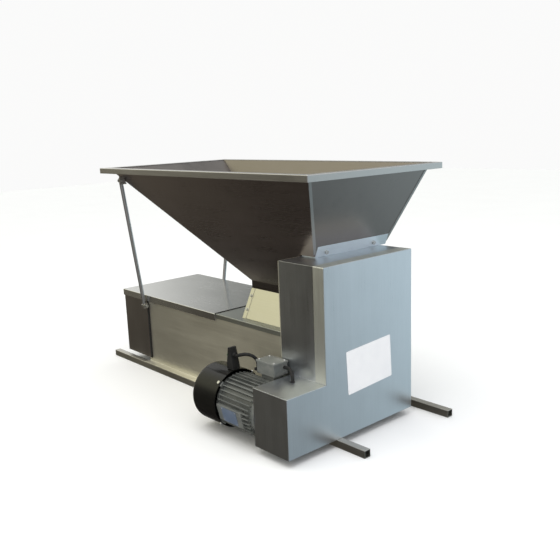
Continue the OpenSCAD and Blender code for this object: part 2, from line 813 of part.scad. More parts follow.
module upright_rod() {
  reach = norm(rod_way);
  difference() {
    translate(rod_low) rotate([0, acos(rod_way[2]/reach), atan2(rod_way[1], rod_way[0])])
      translate([0, 0, -9]) cylinder(h = reach + 17, d = rod_d);
    for (p = [rod_low, rod_high]) translate(p) rotate([0, 90, 0])
      cylinder(h = 40, r = 3.2, center = true);
  }
}

module support_rod_near() {
  color(cast) centred() upright_rod();
}

module support_rod_far() {
  color(cast) centred() far_side() upright_rod();
}

module rod_tabs() {
  // lower tab stands on the hood's side and, past the hood's edge, on the trough's side
  tab_x = rod_low[0] + rod_side(8.5) + 0.15;
  foot_x = max(tab_x, hood_hi + 0.1);
  translate([foot_x, side_near - sheet - 0.5, rod_low[2] - 8.5])
    cube([tab_x + tab - foot_x, sheet + 0.5, 17]);
  translate([tab_x, side_near - sheet, rod_low[2]]) rotate([90, 0, 90])
    linear_extrude(tab) difference() {
      union() {
        translate([-8.5, 0]) circle(8.5);
        translate([-8.5, -8.5]) square([8.5, 17]);
      }
      translate([-8.5, 0]) circle(3.2);
    }
  // upper tab follows the slope of the hopper wall
  translate([rod_high[0] + rod_side(14) + 0.4, 0, 0]) rotate([90, 0, 90]) linear_extrude(tab)
    difference() {
      polygon([[rod_high[1] - 9, rod_high[2] - 11], [wall_near(rod_high[2] - 11), rod_high[2] - 11],
        [wall_near(rod_high[2] + 14), rod_high[2] + 14], [rod_high[1] - 9, rod_high[2] + 14]]);
      translate([rod_high[1], rod_high[2]]) circle(3.2);
    }
}

module rod_brackets() {
  color(dark_steel) centred() both_sides() rod_tabs();
}

module rod_bolt_pair() {
  for (p = [rod_low, rod_high]) translate(p) rotate([0, 90, 0]) {
    translate([0, 0, -rod_side(6) - 4.4]) hex_head(10, 4);
    translate([0, 0, -rod_side(6) - 1]) cylinder(h = rod_side(6) + rod_side(14) + tab + 9, r = 3);
    translate([0, 0, rod_side(14) + tab + 0.6]) hex_head(10, 5);
  }
}

module rod_bolts() {
  color(zinc) centred() both_sides() rod_bolt_pair();
}

// ---- Motor -----------------------------------------------------------------------------------
module ring_x(x_start, x_end, inner, outer) {
  along_x(x_start, x_end) translate([motor_y, motor_z]) difference() {
    circle(outer, $fn = 96);
    circle(inner, $fn = 96);
  }
}

module motor_housing() {
  color(cast) centred() along_x(housing_lo, housing_hi) translate([motor_y, motor_z]) difference() {
    union() {
      circle(core_r + 8, $fn = 96);
      for (i = [0 : fin_count - 1]) rotate((i + 0.5)*360/fin_count)
        translate([core_r, -1.1]) square([fin_r - core_r, 2.2]);
      rotate(plate_turn) translate([core_r, -22]) square([fin_r - core_r, 44]);
    }
    circle(core_r, $fn = 96);
  }
}

module stator_core() {
  color(zinc) centred() ring_x(housing_lo + 18, housing_hi - 18, rotor_r + 0.6, core_r);
}

// The housing's fins run on over the shield where the drive cover leaves room for them
module shield_ribs() {
  root = shield_r - 6;
  for (i = [0 : fin_count - 1]) let (a = (i + 0.5)*360/fin_count)
    if (motor_y + fin_r*cos(a) < foot_width - 2)
      rotate(a) translate([root, -1.1]) square([fin_r - root, 2.2]);
}

module front_shield() {
  color(cast) centred() difference() {
    union() {
      ring_x(flange_x - 8, flange_x, 26, shield_r);
      ring_x(flange_x - 1, flange_x + plate, 22, 40);
      ring_x(housing_hi, flange_x - 7, 30, shield_r - 2);
      ring_x(flange_x - 14, flange_x - 7, 22, 31);
      along_x(housing_hi, flange_x - 14) translate([motor_y, motor_z]) shield_ribs();
    }
    ring_x(flange_x - 12, flange_x + plate + 1, 0, 23.5);
    for (a = [45 : 90 : 315]) translate([flange_x - 6, motor_y, motor_z]) rotate([a, 0, 0])
      translate([0, 0, 50]) rotate([0, 90, 0]) cylinder(h = 7, r = 2.6);
  }
}

module rear_shield() {
  lug_end = cowl_r - cowl_wall - 0.7;           // four lugs carry the cowl's screws
  color(cast) centred() along_x(housing_lo - 12, housing_lo) translate([motor_y, motor_z])
    difference() {
      union() {
        circle(rear_r, $fn = 96);
        for (a = [45 : 90 : 315]) rotate(a)
          translate([rear_r - 14, -7]) square([lug_end - rear_r + 14, 14]);
      }
      circle(23.5);
    }
}

module motor_bearings() {
  color(zinc) centred() {
    ring_x(housing_lo - 12, housing_lo + 2, motor_shaft_d/2 + fit, 23.48);
    ring_x(flange_x - 11, flange_x + 3, motor_shaft_d/2 + fit, 23.48);
  }
}

module motor_rotor() {
  color(zinc) centred() {
    bar_x(housing_lo + 18, housing_hi - 18, motor_y, motor_z, rotor_r);
    bar_x(cowl_lo + 22, belt_mid + 18, motor_y, motor_z, motor_shaft_d/2);
  }
}

fan_lo = cowl_lo + 26;
module cooling_fan() {
  color(black) centred() difference() {
    union() {
      bar_x(fan_lo, fan_lo + 20, motor_y, motor_z, motor_shaft_d/2 + 8);
      bar_x(fan_lo + 16, fan_lo + 20, motor_y, motor_z, fan_r - 2);
      for (i = [0 : 6]) translate([fan_lo, motor_y, motor_z]) rotate([i*360/7, 0, 0])
        translate([0, -1.25, 14]) cube([18, 2.5, fan_r - 14]);
    }
    bar_x(fan_lo - 1, fan_lo + 22, motor_y, motor_z, motor_shaft_d/2 + 0.02);
  }
}

module fan_cowl() {
  wall = cowl_wall;
  round_r = 16;
  flat_r = cowl_r - round_r;
  grille_step = (flat_r - 12)/4;
  color(black) centred() translate([cowl_lo, motor_y, motor_z]) rotate([0, 90, 0]) difference() {
    union() {
      cylinder(h = wall, r = flat_r, $fn = 96);
      translate([0, 0, round_r]) difference() {
        cylinder(h = cowl_hi - cowl_lo - round_r, r = cowl_r, $fn = 96);
        translate([0, 0, -1])
          cylinder(h = cowl_hi - cowl_lo, r = cowl_r - wall, $fn = 96);
      }
      rotate_extrude($fn = 96) translate([flat_r, round_r]) difference() {
        circle(round_r);
        circle(round_r - wall);
        translate([-30, 0]) square([60, 30]);
        translate([-60, -30]) square([60, 60]);
      }
    }
    for (ring = [1 : 4]) for (i = [0 : ring*6 - 1]) rotate(i*60/ring + ring*11)
      translate([ring*grille_step, 0, -1]) cylinder(h = wall + 2, d = 8, $fn = 24);
    for (a = [45 : 90 : 315]) rotate(a) translate([0, 0, cowl_hi - cowl_lo - 6])
      rotate([0, 90, 0]) cylinder(h = 100, r = 2.6);
  }
}

module cowl_screws() {
  color(zinc) centred() for (a = [45 : 90 : 315])
    translate([cowl_hi - 6, motor_y, motor_z]) rotate([a, 0, 0]) {
      translate([0, 0, cowl_r + 0.05]) cylinder(h = 2.6, r = 4.2);
      translate([0, 0, cowl_r - 2.2]) cylinder(h = 3, r = 2.4);
    }
}

module flange_bolts() {
  color(zinc) centred() for (a = [45 : 90 : 315])
    translate([flange_x, motor_y, motor_z]) rotate([a, 0, 0]) translate([0, 0, 50])
      rotate([0, 90, 0]) {
        translate([0, 0, plate + 0.05]) hex_head(8, 4);
        translate([0, 0, -5]) cylinder(h = plate + 6, r = 2.5);
      }
}

// Terminal box on the upper far side of the housing
module terminal_box() {
  color(cast) centred() difference() {
    union() {
      block([box_lo, box_near, box_floor], [box_hi, box_far, box_roof - 6]);
      block([box_lo - 1.5, box_near - 1.5, box_roof - 5], [box_hi + 1.5, box_far + 1.5, box_roof]);
      block([box_lo, box_near, box_roof - 7], [box_hi, box_far, box_roof - 4]);
      block([box_lo + 10, box_near + 6, motor_z + 40], [box_hi - 10, box_far - 8, box_floor + 1]);
    }
    bar_x(-400, 0, motor_y, motor_z, fin_r + 0.2);
    block([box_lo + 3, box_near + 3, box_floor + 3], [box_hi - 3, box_far - 3, box_roof - 7]);
  }
}

module rating_plate() {
  color([0.34, 0.39, 0.48]) centred() translate([0, motor_y, motor_z]) rotate([plate_turn - 90, 0, 0])
    translate([-236, -20, fin_r + 0.05]) cube([58, 40, 0.8]);
}

// Wedge-shaped switch box on top of the cowl, with its two buttons facing the outlet end
switch_roof = switch_floor + 57.6;
switch_near = motor_y - 13;
switch_far = motor_y + 9;
ridge = switch_lo + 11;
slope_turn = atan2(ridge - 4 - switch_lo, switch_roof - switch_floor - 14) - 90;
module switch_outline(inset) {
  polygon([[switch_lo + inset, switch_floor], [switch_hi - inset, switch_floor],
    [switch_hi - inset, switch_floor + 10], [ridge + 3, switch_roof - inset],
    [ridge - 4, switch_roof - inset], [switch_lo + inset, switch_floor + 14]]);
}

button_places = [switch_near + 5.5, switch_far - 5.5];
button_r = 4;
module on_slope(y) {
  translate([(switch_lo + ridge - 4)/2, y, (switch_floor + 14 + switch_roof)/2])
    rotate([0, slope_turn, 0]) children();
}

module switch_box() {
  color(black) centred() difference() {
    translate([0, switch_far, 0]) rotate([90, 0, 0]) linear_extrude(switch_far - switch_near)
      switch_outline(0);
    for (y = button_places) on_slope(y) translate([0, 0, -9])
      cylinder(h = 30, r = button_r + 0.3);
    bar_x(-400, 0, motor_y, motor_z, cowl_r + 0.2);
  }
}

module push_button(y) {
  on_slope(y) translate([0, 0, -5]) {
    cylinder(h = 8.5, r = button_r - 0.1);
  }
}

module start_button() {
  color([0.10, 0.45, 0.18]) centred() push_button(button_places[0]);
}

module stop_button() {
  color([0.70, 0.08, 0.06]) centred() push_button(button_places[1]);
}

// Leads: from the switch box to the terminal box, and from the terminal box into the foot
lead_gap = 0.05;
switch_route = [[-255.9, 60, 206], [-251, 60, 206], [-243, 61, 209.5], [-234, 65, 212.5],
  [-225, 71, 213.5], [-216, 78.5, 211], [-209.5, 85, 205], [-206, 88.5, 197], [-205, 90, 188],
  [-205, 90, 182], [-205, 90, 178 + lead_gap]];
module cable_glands() {
  out = switch_route[0];                        // the lead leaves the switch box here
  in = switch_route[len(switch_route) - 1];     // and drops into the elbow on the terminal box
  color(black) centred() {
    difference() {
      bar_x(out[0] - 10, out[0] - lead_gap, out[1], out[2], lead_d/2 + 2);
      translate([0, switch_far, 0]) rotate([90, 0, 0]) linear_extrude(switch_far - switch_near)
        offset(delta = 0.05) switch_outline(0);
    }
    block([in[0] - 7, in[1] - 7, in[2] - 7], [box_lo - 0.05, in[1] + 7, in[2] - lead_gap]);
  }
}

function turn(p, q) = let (v = q - p) v/norm(v);
function ring_points(p, dir, side, r) = let (a = cross(dir, side), u = a/norm(a), w = cross(u, dir))
  [for (i = [0 : 9]) p + r*(u*cos(36*i) + w*sin(36*i))];
function heading_at(path, i) = i == 0 ? turn(path[0], path[1])
  : i == len(path) - 1 ? turn(path[i - 1], path[i]) : turn(path[i - 1], path[i + 1]);

module tube(path, r, side) {
  n = len(path);
  polyhedron(points = [for (i = [0 : n - 1]) each ring_points(path[i], heading_at(path, i), side, r)],
    faces = concat([[for (j = [0 : 9]) j]], [[for (j = [9 : -1 : 0]) (n - 1)*10 + j]],
      [for (i = [0 : n - 2], j = [0 : 9]) [i*10 + j, (i + 1)*10 + j,
        (i + 1)*10 + (j + 1) % 10, i*10 + (j + 1) % 10]]));
}

interlock_route = [[box_hi + 1.5, 112, 190], [-122, 112, 191], [-112, 110, 192], [-101, 106, 192],
  [-91, 101, 189], [-83, 96, 183], [-79, 93, 177], [-78, 92, 170]];
module flexible_leads() {
  color(black) centred() {
    tube(switch_route, lead_d/2, [1, 1, 0]);
    tube(interlock_route, lead_d/2, [1, 1, 0]);
  }
}

rail_near();
rail_far();
trough_side_near();
trough_side_far();
outlet_end_plate();
drive_end_plate();
stalk_hood();
top_deck();
trough_lid();
destemming_grate();
beater_shaft();
beater_paddles();
outlet_bearing();
drive_bearing();
roller_a();
roller_b();
roller_bushes();
roller_box_sides();
roller_box_end();
box_screws();
roller_gear_a();
roller_gear_b();
roller_sprocket();
beater_sprocket();
drive_chain();
beater_pulley();
motor_pulley();
v_belt();
drive_cover();
cover_screws();
motor_plate();
hopper_wall_near();
hopper_wall_far();
hopper_wall_outlet();
hopper_wall_drive();
hopper_rim();
hopper_collar();
hopper_saddle();
saddle_bolts();
support_rod_near();
support_rod_far();
rod_brackets();
rod_bolts();
motor_housing();
stator_core();
front_shield();
rear_shield();
motor_bearings();
motor_rotor();
cooling_fan();
fan_cowl();
cowl_screws();
flange_bolts();
terminal_box();
rating_plate();
switch_box();
start_button();
stop_button();
cable_glands();
flexible_leads();
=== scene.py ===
import bpy, bmesh, json, math
from mathutils import Matrix, Vector

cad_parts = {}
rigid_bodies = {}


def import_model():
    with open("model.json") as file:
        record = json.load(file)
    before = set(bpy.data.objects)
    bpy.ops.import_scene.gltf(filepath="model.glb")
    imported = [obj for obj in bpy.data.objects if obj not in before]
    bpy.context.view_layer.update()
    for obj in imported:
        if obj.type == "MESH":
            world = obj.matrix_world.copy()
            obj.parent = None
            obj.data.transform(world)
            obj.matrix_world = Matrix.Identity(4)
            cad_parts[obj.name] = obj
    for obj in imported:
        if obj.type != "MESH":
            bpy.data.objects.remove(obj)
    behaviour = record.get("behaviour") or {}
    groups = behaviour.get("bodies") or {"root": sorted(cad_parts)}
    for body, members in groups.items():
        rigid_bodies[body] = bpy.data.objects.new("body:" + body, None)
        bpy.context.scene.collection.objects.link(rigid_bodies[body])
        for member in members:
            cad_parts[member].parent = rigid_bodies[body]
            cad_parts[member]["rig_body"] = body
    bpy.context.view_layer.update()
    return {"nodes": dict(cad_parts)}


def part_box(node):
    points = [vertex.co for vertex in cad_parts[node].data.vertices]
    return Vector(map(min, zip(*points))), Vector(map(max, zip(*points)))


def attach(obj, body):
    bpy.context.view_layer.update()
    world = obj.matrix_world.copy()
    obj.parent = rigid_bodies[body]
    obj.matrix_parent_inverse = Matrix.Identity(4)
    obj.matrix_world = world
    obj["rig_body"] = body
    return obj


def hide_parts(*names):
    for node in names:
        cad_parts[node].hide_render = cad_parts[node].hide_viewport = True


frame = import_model()
nodes = frame["nodes"]
mm = 0.001
print("frame loaded:", len(nodes), "nodes")

# Camera: three-quarter view of the motor side and the tall cover
cameraView = {"place": (1.6278, -1.2905, 0.7736), "azimuth": 48.47, "elevation": 12.11,
              "roll": -2.18, "lens": 45.59, "sensor": 36.0}


def addCamera(view):
    a, e, r = (math.radians(view[k]) for k in ("azimuth", "elevation", "roll"))
    back = Vector((math.sin(a) * math.cos(e), -math.cos(a) * math.cos(e), math.sin(e)))
    right = Vector((math.cos(a), math.sin(a), 0))
    up = back.cross(right)
    right, up = right * math.cos(r) + up * math.sin(r), up * math.cos(r) - right * math.sin(r)
    data = bpy.data.cameras.new("mainCamera")
    data.lens, data.sensor_width = view["lens"], view["sensor"]
    data.clip_start, data.clip_end = 0.02, 60
    camera = bpy.data.objects.new("mainCamera", data)
    turned = Matrix((right, up, back)).transposed().to_4x4()
    camera.matrix_world = Matrix.Translation(view["place"]) @ turned
    bpy.context.scene.collection.objects.link(camera)
    bpy.context.scene.camera = camera


addCamera(cameraView)
print("camera placed")


def mathNode(tree, how, a, b):
    made = tree.nodes.new("ShaderNodeMath")
    made.operation = how
    for i, x in enumerate((a, b)):
        if isinstance(x, (int, float)):
            made.inputs[i].default_value = x
        else:
            tree.links.new(x, made.inputs[i])
    return made.outputs[0]


# Builds one material out of noise, ranges, mixes and bumps
class Shader:
    def __init__(self, name, rough, metal=0.0, **sockets):
        self.mat = bpy.data.materials.new(name)
        self.mat.use_nodes = True
        self.tree = self.mat.node_tree
        self.bsdf = self.tree.nodes["Principled BSDF"]
        self.put("Roughness", rough)
        self.put("Metallic", metal)
        for key, value in sockets.items():
            self.put(key.replace("_", " "), value)

    def put(self, socket, value):
        self.bsdf.inputs[socket].default_value = value

    def node(self, kind, **inputs):
        made = self.tree.nodes.new(kind)
        for key, value in inputs.items():
            made.inputs[key.replace("_", " ")].default_value = value
        return made

    def link(self, source, target):
        self.tree.links.new(source, target)

    def place(self, scale):
        where = self.node("ShaderNodeTexCoord")
        stretch = self.node("ShaderNodeMapping", Scale=scale)
        self.link(where.outputs["Object"], stretch.inputs["Vector"])
        return stretch.outputs["Vector"]

    def noise(self, scale, stretch=(1, 1, 1), detail=3.0, rough=0.5):
        made = self.node("ShaderNodeTexNoise", Scale=scale, Detail=detail, Roughness=rough)
        self.link(self.place(stretch), made.inputs["Vector"])
        return made.outputs["Fac"]

    def spread(self, value, low, high, fromLow=0.3, fromHigh=0.7):
        made = self.node("ShaderNodeMapRange", From_Min=fromLow, From_Max=fromHigh,
                         To_Min=low, To_Max=high)
        self.link(value, made.inputs["Value"])
        return made.outputs["Result"]

    def math(self, how, a, b):
        return mathNode(self.tree, how, a, b)

    def mixColours(self, amount, first, second):
        made = self.tree.nodes.new("ShaderNodeMix")
        made.data_type = "RGBA"
        self.link(amount, made.inputs[0])
        for socket, x in ((made.inputs[6], first), (made.inputs[7], second)):
            if isinstance(x, (tuple, list)):
                socket.default_value = (*x[:3], 1)
            else:
                self.link(x, socket)
        return made.outputs[2]

    def bump(self, height, distance, strength=1.0, under=None):
        made = self.node("ShaderNodeBump", Strength=strength, Distance=distance)
        self.link(height, made.inputs["Height"])
        if under is not None:
            self.link(under, made.inputs["Normal"])
        return made.outputs["Normal"]


def grainStretch(axis, along=7.0, across=420.0):
    return tuple(along if "xyz"[i] == axis else across for i in range(3))


# Rolled or brushed stainless sheet: fine grain, hazy patches, wiping marks and slight waviness
# A shade lets the tint run along an axis, which stands in for what the sheet would mirror
def steelFinish(name, tint, rough, grain="x", dirt=0.1, wave=0.0009, grainDepth=0.00002,
                shade=None):
    s = Shader(name, rough, 1.0)
    fine = s.noise(1.0, grainStretch(grain), 4.0, 0.6)
    patches = s.noise(5.5, (1, 1, 1), 5.0, 0.6)
    wipes = s.noise(1.0, grainStretch(grain, 3.0, 26.0), 3.0, 0.55)
    darker = tuple(c * 0.88 for c in tint)
    blend = s.math("ADD", s.math("MULTIPLY", patches, 0.6), s.math("MULTIPLY", wipes, 0.4))
    worn = s.mixColours(s.spread(blend, 0.0, 1.0, 0.36, 0.66), darker, tint)
    grained = s.mixColours(s.spread(fine, 0.0, 0.35, 0.35, 0.7), worn,
                           tuple(min(1, c * 1.07) for c in tint))
    if shade:
        apart = s.node("ShaderNodeSeparateXYZ")
        s.link(s.place((1, 1, 1)), apart.inputs["Vector"])
        run = s.spread(apart.outputs["XYZ".index(shade["axis"])], 0, 1, shade["from"], shade["to"])
        grained = s.mixColours(run, shade["tint"], grained)
    s.link(grained, s.bsdf.inputs["Base Color"])
    cloudy = s.spread(blend, rough - dirt, rough + dirt)
    s.link(s.math("ADD", s.spread(fine, -0.04, 0.05), cloudy), s.bsdf.inputs["Roughness"])
    wavy = s.bump(s.noise(4.2, (1, 1, 1), 1.0, 0.4), wave, 1.0)
    s.link(s.bump(fine, grainDepth, 1.0, wavy), s.bsdf.inputs["Normal"])
    return s.mat


# Enamel over a casting: orange peel and patches of dust
def enamelFinish(name, colour, dusty, rough=0.42, peel=0.00025, gloss=0.0):
    s = Shader(name, rough, 0.0, Coat_Weight=gloss, Coat_Roughness=0.10,
               Specular_IOR_Level=0.5 - 0.8 * gloss)
    dust = s.noise(38.0, (1, 1, 1), 6.0, 0.65)
    s.link(s.mixColours(s.spread(dust, 0, 1, 0.42, 0.72), colour, dusty),
           s.bsdf.inputs["Base Color"])
    s.link(s.spread(dust, rough - 0.06, rough + 0.16), s.bsdf.inputs["Roughness"])
    s.link(s.bump(s.noise(420.0, (1, 1, 1), 3.0), peel, 0.6), s.bsdf.inputs["Normal"])
    return s.mat


# Moulded plastic or rubber with a spark-eroded grain
def mouldedFinish(name, colour, lighter, rough=0.5, grain=900.0, depth=0.00012):
    s = Shader(name, rough)
    cloud = s.noise(24.0, (1, 1, 1), 4.0)
    s.link(s.mixColours(s.spread(cloud, 0, 1), colour, lighter), s.bsdf.inputs["Base Color"])
    s.link(s.spread(cloud, rough - 0.05, rough + 0.09), s.bsdf.inputs["Roughness"])
    s.link(s.bump(s.noise(grain, (1, 1, 1), 2.0), depth, 0.7), s.bsdf.inputs["Normal"])
    return s.mat


# Finishes. Several stainless ones are one steel in different tints, painting the reflections and
# shade
coverSteel = steelFinish("coverSteel", (0.63, 0.655, 0.685), 0.33, "z", 0.05, 0.0006)
# Painted reflection: the trough steel runs from a darker tint at X -0.30 to its own tint at X 0.02
troughSteel = steelFinish("troughSteel", (0.95, 0.92, 0.80), 0.50, "x", 0.05, 0.0012,
                          shade={"axis": "X", "from": -0.30, "to": 0.02,
                                 "tint": (0.66, 0.64, 0.56)})
# Painted shade: the deck takes a darker copy of the trough steel
deckShadedSteel = steelFinish("deckShadedSteel", (0.50, 0.52, 0.485), 0.42, "x", 0.05, 0.0012)
hoodSteel = steelFinish("hoodSteel", (0.30, 0.275, 0.27), 0.32, "z", 0.06)
lidSteel = steelFinish("lidSteel", (0.68, 0.68, 0.675), 0.22, "x", 0.06, 0.0008)
# Painted shade: below Z 0.36 the hopper steel takes a darker tint, blending to its own tint by Z
# 0.50
hopperSteel = steelFinish("hopperSteel", (0.39, 0.34, 0.33), 0.30, "x", 0.05, 0.0008, 0.000005,
                          {"axis": "Z", "from": 0.36, "to": 0.50, "tint": (0.17, 0.15, 0.145)})
# Painted shade: a darker copy of the hopper steel, for the far, outlet and drive walls
hopperShade = steelFinish("hopperShade", (0.265, 0.24, 0.225), 0.32, "x", 0.05, 0.0008, 0.000008)
seamSteel = steelFinish("seamSteel", (0.42, 0.41, 0.395), 0.40, "z", 0.08, 0.0004)
rimSteel = steelFinish("rimSteel", (0.52, 0.51, 0.49), 0.38, "x", 0.08)
saddleSteel = steelFinish("saddleSteel", (0.82, 0.88, 0.92), 0.46, "y", 0.07)
boxSteel = steelFinish("boxSteel", (0.74, 0.72, 0.60), 0.38, "x", 0.08)
railSteel = steelFinish("railSteel", (0.50, 0.485, 0.44), 0.40, "x", 0.08)
rodSteel = steelFinish("rodSteel", (0.52, 0.52, 0.51), 0.36, "z", 0.08)
turnedSteel = steelFinish("turnedSteel", (0.58, 0.58, 0.57), 0.30, "x", 0.08)
screwZinc = steelFinish("screwZinc", (0.62, 0.62, 0.60), 0.34, "z", 0.10, 0.0001)
weldSteel = steelFinish("weldSteel", (0.60, 0.60, 0.59), 0.42, "z", 0.10, 0.0005)
castIron = enamelFinish("castIron", (0.16, 0.16, 0.165), (0.24, 0.235, 0.23), 0.52, 0.0004)
motorEnamel = enamelFinish("motorEnamel", (0.115, 0.122, 0.115), (0.185, 0.188, 0.172), 0.38)
terminalEnamel = enamelFinish("terminalEnamel", (0.165, 0.175, 0.165), (0.24, 0.245, 0.225), 0.38)
cowlEnamel = enamelFinish("cowlEnamel", (0.003, 0.003, 0.0025), (0.006, 0.0055, 0.0045), 0.60,
                          0.00002, 0.5)
plateBlue = enamelFinish("plateBlue", (0.10, 0.135, 0.20), (0.15, 0.185, 0.25), 0.35, 0.00005)
blackPlastic = mouldedFinish("blackPlastic", (0.005, 0.005, 0.005), (0.012, 0.012, 0.012), 0.62)
leadRubber = mouldedFinish("leadRubber", (0.005, 0.005, 0.005), (0.011, 0.011, 0.010), 0.72, 500.0)
beltRubber = mouldedFinish("beltRubber", (0.012, 0.012, 0.012), (0.03, 0.029, 0.027), 0.75, 700.0)
foodRubber = mouldedFinish("foodRubber", (0.60, 0.57, 0.49), (0.72, 0.70, 0.63), 0.55, 600.0)
greenKey = mouldedFinish("greenKey", (0.01, 0.15, 0.03), (0.02, 0.20, 0.05), 0.30)
redKey = mouldedFinish("redKey", (0.42, 0.012, 0.01), (0.52, 0.025, 0.02), 0.30)
labelWhite = mouldedFinish("labelWhite", (0.86, 0.855, 0.87), (0.90, 0.895, 0.905), 0.38, 300.0,
                           0.00004)
# Painted light: the folded flange takes a lighter copy of the cover steel, for a bright band along
# the front edge
flangeLitSteel = steelFinish("flangeLitSteel", (0.72, 0.73, 0.68), 0.50, "z", 0.05, 0.0006)
chainSteel = steelFinish("chainSteel", (0.26, 0.25, 0.23), 0.42, "x", 0.1, 0.0001)
print("finishes mixed")


# Mesh helpers
def newPiece(name, mesh, material, body):
    piece = bpy.data.objects.new(name, mesh)
    bpy.context.scene.collection.objects.link(piece)
    mesh.materials.clear()
    mesh.materials.append(material)
    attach(piece, body)
    return piece


def meshFrom(bm, name, smooth=False):
    bmesh.ops.recalc_face_normals(bm, faces=bm.faces)
    mesh = bpy.data.meshes.new(name)
    bm.to_mesh(mesh)
    bm.free()
    if smooth:
        mesh.polygons.foreach_set("use_smooth", [True] * len(mesh.polygons))
    return mesh


def joinRings(bm, first, second):
    count = len(first)
    for i in range(count):
        bm.faces.new((first[i], first[(i + 1) % count], second[(i + 1) % count], second[i]))


def softEdge(piece, width):
    edge = piece.modifiers.new("edge", "BEVEL")
    edge.width, edge.segments = width, 2
    return edge


# How thin a face is: a long strip gives its width
def thinness(face):
    return 2.0 * face.calc_area() / max(face.calc_perimeter(), 1e-9)


# Clean copy of a part with its corners rounded the way bent sheet and castings are
def roundedCopy(node, name, material, radius, segments=3, smoothUnder=32):
    bm = bmesh.new()
    bm.from_mesh(nodes[node].data)
    bmesh.ops.remove_doubles(bm, verts=bm.verts, dist=0.002 * mm)
    bmesh.ops.dissolve_limit(bm, angle_limit=math.radians(0.4), verts=bm.verts, edges=bm.edges)
    bm.normal_update()
    sharpest = math.radians(smoothUnder)
    weights = []
    for edge in bm.edges:
        corner = len(edge.link_faces) == 2 and edge.calc_face_angle(0.0) > sharpest
        edge.smooth = True
        if not corner:
            weights.append(0.0)
            continue
        room = 0.42 * min(thinness(f) for f in edge.link_faces)  # leaves a flat between two bends
        weights.append(min(radius, room) / radius)
    bm.verts.index_update()
    lookup = {tuple(sorted(v.index for v in e.verts)): w for e, w in zip(bm.edges, weights)}
    mesh = bpy.data.meshes.new(name)
    mesh.from_pydata([v.co.copy() for v in bm.verts], [],
                     [[v.index for v in f.verts] for f in bm.faces])
    bm.free()
    values = [lookup.get(tuple(sorted(e.vertices)), 0.0) for e in mesh.edges]
    mesh.attributes.new("bevel_weight_edge", "FLOAT", "EDGE").data.foreach_set("value", values)
    mesh.polygons.foreach_set("use_smooth", [True] * len(mesh.polygons))
    mesh.update()
    piece = newPiece(name, mesh, material, nodes[node]["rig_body"])
    rounding = piece.modifiers.new("rounding", "BEVEL")
    rounding.limit_method = "WEIGHT"
    rounding.width = radius
    rounding.segments = segments
    rounding.harden_normals = True
    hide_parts(node)
    return piece


def tubeAlong(name, points, radius, material, resolution=4):
    curve = bpy.data.curves.new(name, "CURVE")
    curve.dimensions = "3D"
    spline = curve.splines.new("NURBS")
    spline.points.add(len(points) - 1)
    for target, p in zip(spline.points, points):
        target.co = (*p, 1.0)
    spline.order_u = 4
    spline.use_endpoint_u = True
    curve.bevel_depth = radius
    curve.bevel_resolution = resolution
    curve.resolution_u = 10
    curve.use_fill_caps = True
    piece = bpy.data.objects.new(name, curve)
    bpy.context.scene.collection.objects.link(piece)
    curve.materials.append(material)
    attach(piece, "machine")
    return piece


# Slab from a flat outline, standing on axes given as (origin, side, up, out)
def slabPiece(name, outline, axes, thick, material, body="machine"):
    origin, side, up, out = axes
    bm = bmesh.new()
    low = [bm.verts.new(origin + side * u + up * v) for u, v in outline]
    high = [bm.verts.new(origin + side * u + up * v + out * thick) for u, v in outline]
    bm.faces.new(high)
    bm.faces.new(low[::-1])
    joinRings(bm, low, high)
    return newPiece(name, meshFrom(bm, name), material, body)


def roundedRectangle(width, height, radius, steps=6):
    points = []
    for cx, cy, start in ((1, 1, 0), (-1, 1, 90), (-1, -1, 180), (1, -1, 270)):
        for i in range(steps + 1):
            a = math.radians(start + 90 * i / steps)
            points.append((cx * (width / 2 - radius) + radius * math.cos(a),
                           cy * (height / 2 - radius) + radius * math.sin(a)))
    return points


# Sheet metal
sheetPieces = {
    "rail_near": (railSteel, "rail_steel", 1.4), "rail_far": (railSteel, "rail_steel", 1.4),
    "trough_side_near": (troughSteel, "trough_steel", 1.6),
    "trough_side_far": (troughSteel, "trough_steel", 1.6),
    "outlet_end_plate": (troughSteel, "trough_steel", 0.8),
    "drive_end_plate": (troughSteel, "trough_steel", 0.8),
    "top_deck": (deckShadedSteel, "trough_steel", 1.6), "motor_plate": (troughSteel, "trough_steel", 1.0),
    "stalk_hood": (hoodSteel, "hood_steel", 1.8), "trough_lid": (lidSteel, "lid_steel", 1.8),
    "roller_box_sides": (boxSteel, "box_steel", 1.0),
    "roller_box_end": (boxSteel, "box_steel", 1.0),
    "drive_cover": (coverSteel, "cover_steel", 2.2),
    "hopper_wall_near": (hopperSteel, "hopper_steel", 0.7),
    "hopper_wall_far": (hopperShade, "hopper_steel", 0.7),
    "hopper_wall_outlet": (hopperShade, "hopper_steel", 0.7),
    "hopper_wall_drive": (hopperShade, "hopper_steel", 0.7),
    "hopper_collar": (hopperSteel, "hopper_steel", 0.7),
    "hopper_rim": (rimSteel, "rim_steel", 1.8), "hopper_saddle": (saddleSteel, "saddle_steel", 1.0),
    "support_rod_near": (rodSteel, "rod_steel", 1.0),
    "support_rod_far": (rodSteel, "rod_steel", 1.0),
    "rod_brackets": (railSteel, "rod_steel", 0.7),
}
for node, (material, slotName, radius) in sheetPieces.items():
    roundedCopy(node, node + "_finished", material, radius * mm)
print("sheet metal rounded")

